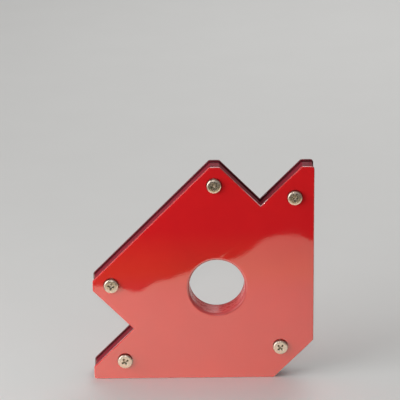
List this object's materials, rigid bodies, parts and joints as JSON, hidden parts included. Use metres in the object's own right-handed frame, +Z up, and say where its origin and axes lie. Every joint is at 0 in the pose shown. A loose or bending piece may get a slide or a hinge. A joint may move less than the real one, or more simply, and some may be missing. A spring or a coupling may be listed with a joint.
{
  "type": "magnetic welding holder",
  "caption": "Flat square magnetic welding holder with V-notches, 45 degree edges and a round hole, two red steel plates screwed over a ferrite magnet core.",
  "frame": {"origin": "middle of the footprint, on the surface that the bottom edges stand on", "axes": "+Z up from the long bottom edge, +Y through the thickness from the screw-head face to the nut face, +X towards the long upright edge"},
  "size_m": [0.12, 0.024, 0.12],
  "materials": {
    "red_paint": "gloss red powder coat",
    "red_wall": "gloss dark red",
    "ferrite": "matt dark grey sintered ferrite",
    "plated_steel": "bright zinc plating"
  },
  "bodies": {
    "root": {"front_plate": "red_paint", "back_plate": "red_paint", "spacer_frame": "red_wall", "hole_sleeve": "red_wall", "ring_magnet": "ferrite", "bar_magnet_1": "ferrite", "bar_magnet_2": "ferrite", "bar_magnet_3": "ferrite", "bar_magnet_4": "ferrite", "bar_magnet_5": "ferrite", "bar_magnet_6": "ferrite", "spacer_tube_1": "plated_steel", "spacer_tube_2": "plated_steel", "spacer_tube_3": "plated_steel", "spacer_tube_4": "plated_steel", "spacer_tube_5": "plated_steel", "screw_1": "plated_steel", "screw_2": "plated_steel", "screw_3": "plated_steel", "screw_4": "plated_steel", "screw_5": "plated_steel", "lock_washer_1": "plated_steel", "lock_washer_2": "plated_steel", "lock_washer_3": "plated_steel", "lock_washer_4": "plated_steel", "lock_washer_5": "plated_steel", "nut_1": "plated_steel", "nut_2": "plated_steel", "nut_3": "plated_steel", "nut_4": "plated_steel", "nut_5": "plated_steel"}
  },
  "joints": []
}
